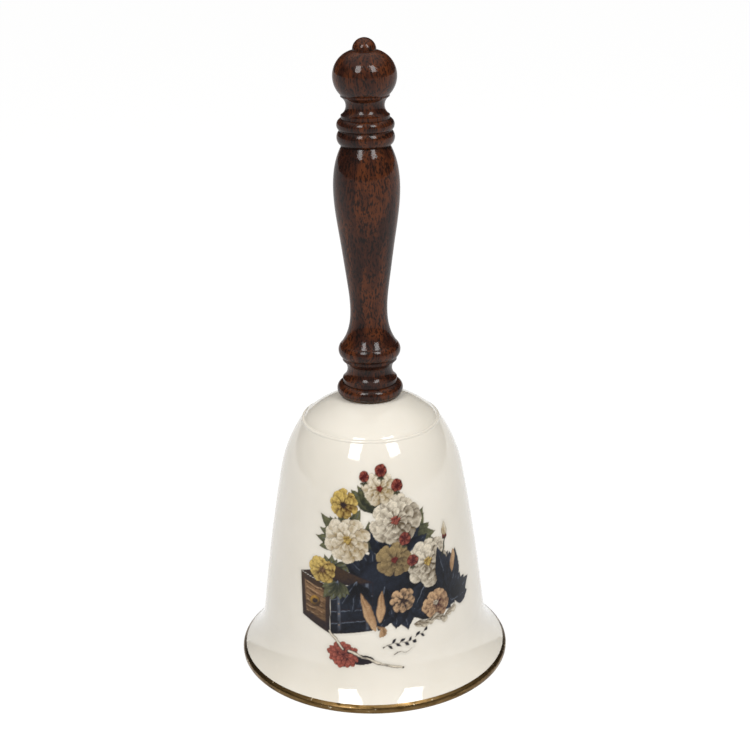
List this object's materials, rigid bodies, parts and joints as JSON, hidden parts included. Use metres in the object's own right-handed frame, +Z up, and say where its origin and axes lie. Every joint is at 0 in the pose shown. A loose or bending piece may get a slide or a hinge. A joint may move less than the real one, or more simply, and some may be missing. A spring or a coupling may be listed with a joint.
{
  "type": "hand bell",
  "caption": "Porcelain hand bell with a flared, gold-banded lip, a turned hardwood handle bolted through the crown, and a brass clapper on a wire link.",
  "frame": {"origin": "centre of the lip's foot, where the bell stands", "axes": "+Z up along the bell's axis to the button of the handle, -Y towards the printed side, +X to its right"},
  "size_m": [0.1002, 0.1002, 0.2286],
  "materials": {
    "porcelain": "creamy white, clear high-gloss glaze",
    "gold_lustre": "fired gold lustre, slightly worn",
    "turned_wood": "dark red-brown open-grained hardwood, gloss lacquer",
    "brass_fittings": "drawn and turned brass, lightly tarnished",
    "plated_steel": "bright zinc plating",
    "felt": "pressed wool felt, brown-grey",
    "cork": "agglomerated cork"
  },
  "bodies": {
    "bell": {"bell_shell": "porcelain", "gold_band": "gold_lustre", "handle": "turned_wood", "seat_gasket": "cork", "thread_insert": "brass_fittings", "felt_washer": "felt", "crown_washer": "plated_steel", "lock_nut": "plated_steel", "eye_bolt": "brass_fittings"},
    "link": {"hanger_link": "brass_fittings"},
    "clapper": {"clapper_rod": "brass_fittings", "clapper_ball": "brass_fittings", "cap_nut": "brass_fittings"}
  },
  "joints": [
    {"name": "link_swing", "type": "hinge", "parent": "bell", "child": "link", "pos_m": [0, 0, 0.0813], "axis": [1, 0, 0], "range_deg": [-23, 23]},
    {"name": "clapper_swing", "type": "hinge", "parent": "link", "child": "clapper", "pos_m": [0, 0, 0.07265], "axis": [0, 1, 0], "range_deg": [-27, 27]}
  ]
}
